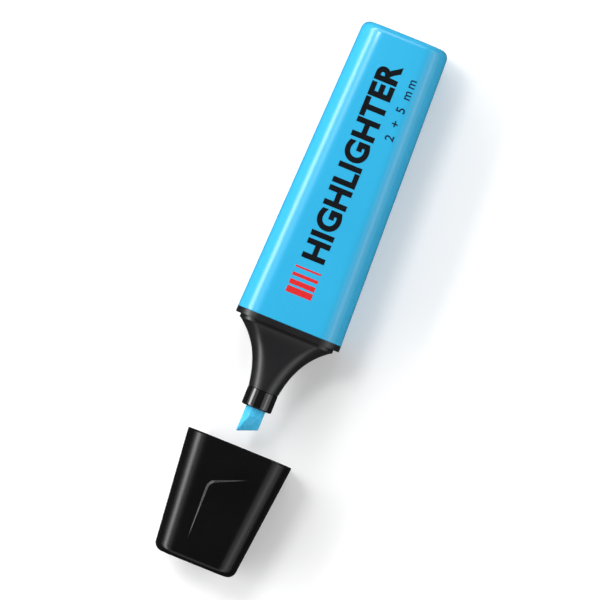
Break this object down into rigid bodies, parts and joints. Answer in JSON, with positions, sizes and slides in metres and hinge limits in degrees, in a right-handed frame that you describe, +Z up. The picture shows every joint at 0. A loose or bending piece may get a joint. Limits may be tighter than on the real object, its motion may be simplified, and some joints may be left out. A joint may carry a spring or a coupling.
{
  "type": "capped chisel-tip highlighter",
  "caption": "Flat capped highlighter with a chisel nib; the cap is pulled off in line and slides home over the nib.",
  "frame": {"origin": "centre of the barrel's flat underside, on the surface that the marker lies on", "axes": "+Z up out of the upper broad side, +Y along the marker towards its rear end, +X across it, so the nib points along -Y"},
  "size_m": [0.027, 0.1384, 0.017],
  "materials": {
    "barrel_plastic": "bright cyan-blue glossy polypropylene",
    "front_plastic": "black satin plastic",
    "holder_plastic": "black high-gloss plastic",
    "nib_felt": "ink-soaked pressed fibre, cyan",
    "reservoir_fibre": "ink-soaked fibre bundle",
    "reservoir_film": "thin clear film",
    "cap_plastic": "black glossy plastic",
    "seal_plastic": "black soft plastic"
  },
  "bodies": {
    "marker": {"barrel": "barrel_plastic", "front_section": "front_plastic", "nib_holder": "holder_plastic", "nib": "nib_felt", "reservoir_core": "reservoir_fibre", "reservoir_wrap": "reservoir_film"},
    "cap": {"cap_shell": "cap_plastic", "cap_inner_seal": "seal_plastic"}
  },
  "joints": [
    {"name": "cap_slide", "type": "slide", "parent": "marker", "child": "cap", "axis": [0, 1, 0], "range_m": [0, 0.0302]}
  ]
}
